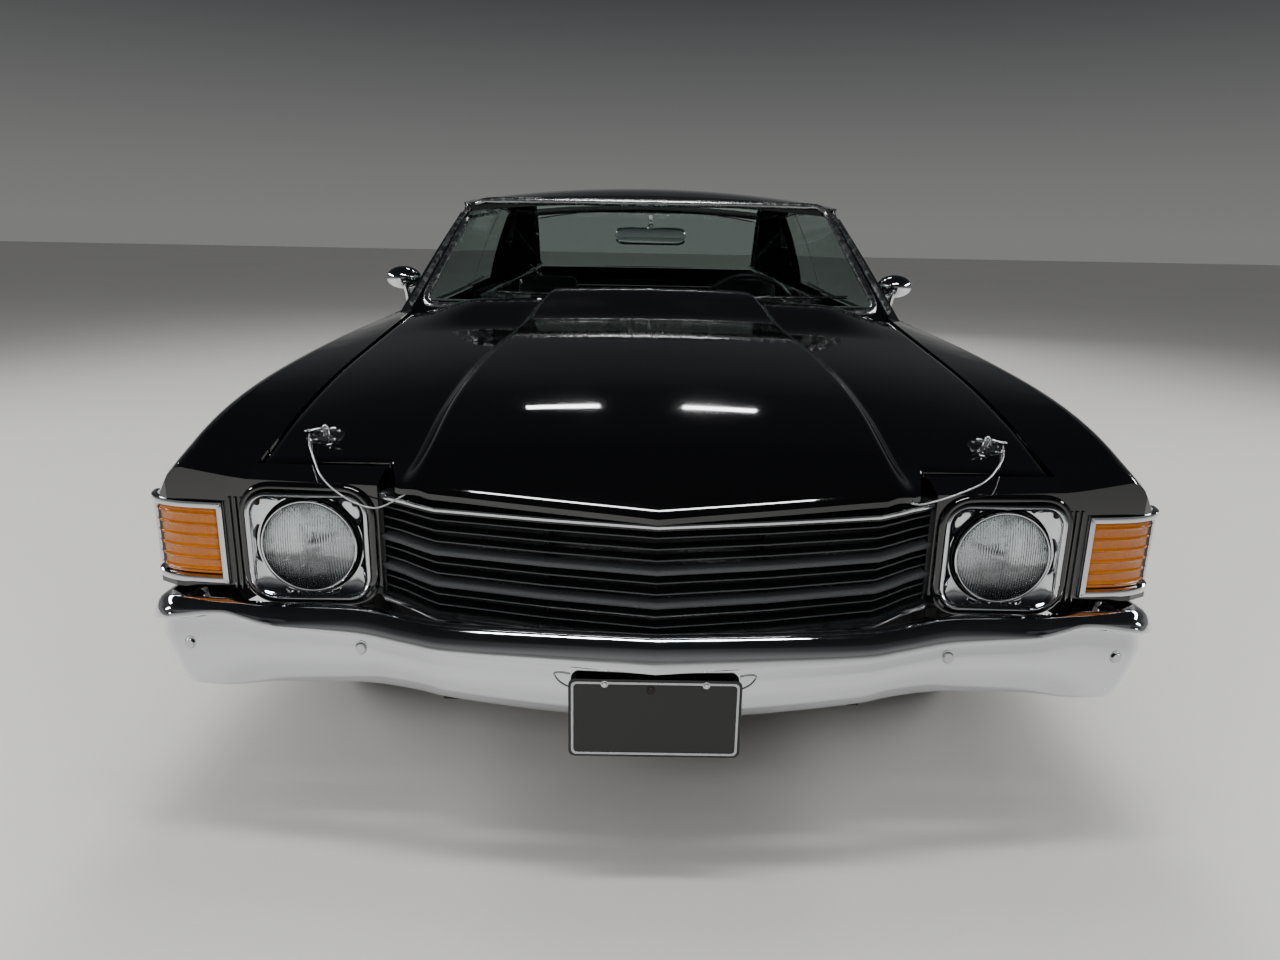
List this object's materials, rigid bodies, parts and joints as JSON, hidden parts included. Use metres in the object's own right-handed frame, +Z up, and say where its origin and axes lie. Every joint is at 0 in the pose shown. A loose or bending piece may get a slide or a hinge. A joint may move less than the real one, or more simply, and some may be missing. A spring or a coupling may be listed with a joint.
{
  "type": "muscle car",
  "caption": "Two-door hardtop coupe with a raised-centre bonnet held by pins with lanyards; its wheels roll and steer, and its doors, bonnet and boot lid open.",
  "frame": {"origin": "on the floor under the middle of the car", "axes": "+X the car's left, -Y its front, +Z up"},
  "size_m": [1.9156, 5.017, 1.3391],
  "materials": {
    "body_paint": "high gloss black",
    "chassis_paint": "satin black",
    "underbody": "matt black",
    "engine_paint": "satin orange enamel",
    "cast": "bare casting",
    "pipe_steel": "dull aluminised steel",
    "chrome": "bright plated",
    "grille_black": "satin black",
    "lamp_glass": "fluted clear glass",
    "amber_lens": "ribbed amber",
    "red_lens": "ribbed red",
    "window_glass": "lightly tinted clear glass",
    "plate_enamel": "black enamel",
    "cord_plastic": "plastic-coated wire",
    "vinyl": "black vinyl",
    "trim_plastic": "black grained plastic",
    "mirror_case": "bright plated",
    "tyre_rubber": "matt black rubber",
    "rim_paint": "dark silver with bright lip",
    "knuckle_iron": "forged, oiled"
  },
  "bodies": {
    "body": {"frame_rails": "chassis_paint", "cross_members": "chassis_paint", "floor_pan": "underbody", "rockers": "body_paint", "wheel_wells": "underbody", "radiator_support": "chassis_paint", "engine_block": "engine_paint", "driveline": "cast", "suspension": "chassis_paint", "exhaust": "pipe_steel", "fuel_tank": "pipe_steel", "front_fenders": "body_paint", "quarter_panels": "body_paint", "nose_panels": "body_paint", "lamp_bezels": "chrome", "headlamps": "lamp_glass", "turn_lamp_lenses": "amber_lens", "grille": "grille_black", "front_bumper": "chrome", "front_plate": "plate_enamel", "rear_bumper": "chrome", "tail_lamps": "red_lens", "deck_panels": "body_paint", "cabin_sides": "underbody", "roof_panel": "body_paint", "roof_pillars": "body_paint", "windscreen": "window_glass", "back_window": "window_glass", "quarter_windows": "window_glass", "dashboard": "trim_plastic", "front_seats": "vinyl", "rear_seat": "vinyl", "inside_mirror": "mirror_case"},
    "bonnet": {"bonnet": "body_paint", "bonnet_pins": "chrome", "lanyard_left": "cord_plastic", "lanyard_right": "cord_plastic"},
    "boot_lid": {"boot_lid": "body_paint"},
    "door_left": {"door_left": "body_paint", "door_glass_left": "window_glass", "door_mirror_left": "mirror_case"},
    "door_right": {"door_right": "body_paint", "door_glass_right": "window_glass", "door_mirror_right": "mirror_case"},
    "steering_wheel": {"steering_wheel": "trim_plastic"},
    "knuckle_left": {"knuckle_left": "knuckle_iron"},
    "knuckle_right": {"knuckle_right": "knuckle_iron"},
    "wheel_front_left": {"rim_front_left": "rim_paint", "tyre_front_left": "tyre_rubber"},
    "wheel_front_right": {"rim_front_right": "rim_paint", "tyre_front_right": "tyre_rubber"},
    "wheel_rear_left": {"rim_rear_left": "rim_paint", "tyre_rear_left": "tyre_rubber"},
    "wheel_rear_right": {"rim_rear_right": "rim_paint", "tyre_rear_right": "tyre_rubber"}
  },
  "joints": [
    {"name": "steer_left", "type": "hinge", "parent": "body", "child": "knuckle_left", "pos_m": [0.672, -1.5435, 0.332], "axis": [0, 0, 1], "range_deg": [-30, 30]},
    {"name": "steer_right", "type": "hinge", "parent": "body", "child": "knuckle_right", "pos_m": [-0.672, -1.5435, 0.332], "axis": [0, 0, 1], "range_deg": [-30, 30]},
    {"name": "steering_wheel_turn", "type": "hinge", "parent": "body", "child": "steering_wheel", "pos_m": [0.37, -0.43, 0.852], "axis": [0, 0.9285, 0.3714], "range_deg": [-481, 481]},
    {"name": "spin_front_left", "type": "hinge", "parent": "knuckle_left", "child": "wheel_front_left", "pos_m": [0.762, -1.5435, 0.332], "axis": [1, 0, 0], "continuous": true},
    {"name": "spin_front_right", "type": "hinge", "parent": "knuckle_right", "child": "wheel_front_right", "pos_m": [-0.762, -1.5435, 0.332], "axis": [1, 0, 0], "continuous": true},
    {"name": "spin_rear_left", "type": "hinge", "parent": "body", "child": "wheel_rear_left", "pos_m": [0.7605, 1.3015, 0.332], "axis": [1, 0, 0], "continuous": true},
    {"name": "spin_rear_right", "type": "hinge", "parent": "body", "child": "wheel_rear_right", "pos_m": [-0.7605, 1.3015, 0.332], "axis": [1, 0, 0], "continuous": true},
    {"name": "door_left_open", "type": "hinge", "parent": "body", "child": "door_left", "pos_m": [0.93, -0.777, 0.6], "axis": [0, 0, -1], "range_deg": [0, 65]},
    {"name": "door_right_open", "type": "hinge", "parent": "body", "child": "door_right", "pos_m": [-0.93, -0.777, 0.6], "axis": [0, 0, 1], "range_deg": [0, 65]},
    {"name": "bonnet_open", "type": "hinge", "parent": "body", "child": "bonnet", "pos_m": [0, -1.11, 0.945], "axis": [-1, 0, 0], "range_deg": [0, 50]},
    {"name": "boot_lid_open", "type": "hinge", "parent": "body", "child": "boot_lid", "pos_m": [0, 1.585, 0.949], "axis": [1, 0, 0], "range_deg": [0, 60]}
  ],
  "couplings": [
    {"joint": "steer_right", "follows": "steer_left", "ratio": 1},
    {"joint": "steering_wheel_turn", "follows": "steer_left", "ratio": 16}
  ]
}
